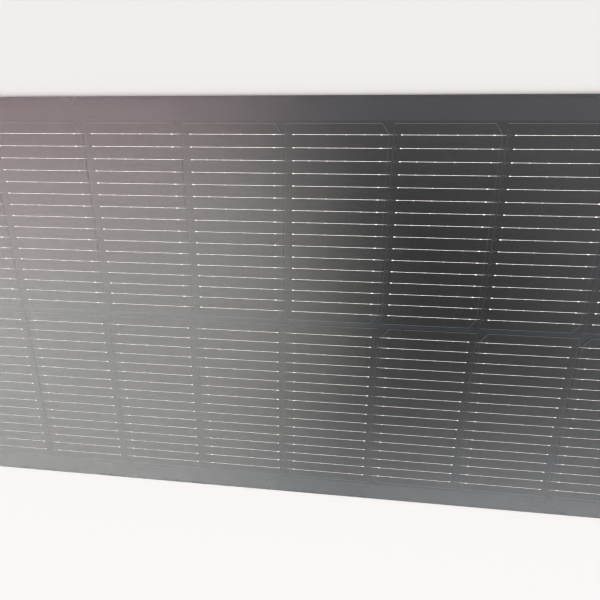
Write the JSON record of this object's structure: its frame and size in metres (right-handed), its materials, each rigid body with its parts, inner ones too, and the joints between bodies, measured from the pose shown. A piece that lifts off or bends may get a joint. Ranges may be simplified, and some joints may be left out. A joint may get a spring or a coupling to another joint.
{
  "type": "flexible solar sheet",
  "caption": "Long thin black flexible solar laminate with rows of half-cut cells joined by fine round wires, and a flat hinged-lid junction box with cable glands at one end.",
  "frame": {"origin": "middle of the underside: the centre of the bounding box in X and Y, at its lowest Z", "axes": "+X along the sheet, away from the junction box; +Y across it, towards the row whose cut corners point to +X; +Z out of the face that meets the sun"},
  "size_m": [1.78, 0.411, 0.0209],
  "materials": {
    "film": "clear fluoropolymer film with a fine matte emboss",
    "encapsulant": "clear cross-linked encapsulant",
    "rear_encapsulant": "black cross-linked encapsulant",
    "cell": "dark blue-black antireflective silicon with fine printed fingers",
    "board": "black glass-fibre laminate",
    "bond": "black bonding film",
    "rear_sheet": "satin black polymer sheet with a fine grain",
    "wire": "bright tinned copper wire",
    "ribbon": "bright tinned copper ribbon",
    "sealant": "black silicone",
    "box_plastic": "black moulded plastic with a fine spark texture",
    "gland_plastic": "black nylon",
    "seal_rubber": "grey-black rubber",
    "pin_steel": "drawn stainless steel",
    "terminal": "tinned brass",
    "screw_steel": "zinc-plated steel",
    "diode_case": "black epoxy case with tinned leads"
  },
  "bodies": {
    "sheet": {"front_film": "film", "front_encapsulant": "encapsulant", "cell_a01": "cell", "cell_b01": "cell", "cell_a02": "cell", "cell_b02": "cell", "cell_a03": "cell", "cell_b03": "cell", "cell_a04": "cell", "cell_b04": "cell", "cell_a05": "cell", "cell_b05": "cell", "cell_a06": "cell", "cell_b06": "cell", "cell_a07": "cell", "cell_b07": "cell", "cell_a08": "cell", "cell_b08": "cell", "cell_a09": "cell", "cell_b09": "cell", "cell_a10": "cell", "cell_b10": "cell", "cell_a11": "cell", "cell_b11": "cell", "cell_a12": "cell", "cell_b12": "cell", "cell_a13": "cell", "cell_b13": "cell", "cell_a14": "cell", "cell_b14": "cell", "cell_a15": "cell", "cell_b15": "cell", "cell_a16": "cell", "cell_b16": "cell", "cell_a17": "cell", "cell_b17": "cell", "cell_a18": "cell", "cell_b18": "cell", "rear_encapsulant": "rear_encapsulant", "stiffener_board": "board", "bond_film": "bond", "rear_sheet": "rear_sheet", "wires_row_a": "wire", "wires_row_b": "wire", "crossing_ribbon": "ribbon", "positive_ribbon": "ribbon", "negative_ribbon": "ribbon", "box_adhesive": "sealant", "box_base": "box_plastic", "lid_gasket": "seal_rubber", "hinge_pin": "pin_steel", "positive_terminal": "terminal", "negative_terminal": "terminal", "terminal_screws": "screw_steel", "bypass_diode": "diode_case", "gland_bodies": "gland_plastic", "gland_seals": "seal_rubber", "gland_nuts": "gland_plastic"},
    "lid": {"box_lid": "box_plastic"}
  },
  "joints": [
    {"name": "lid_hinge", "type": "hinge", "parent": "sheet", "child": "lid", "pos_m": [-0.883, 0, 0.0184], "axis": [0, -1, 0], "range_deg": [0, 110]}
  ]
}
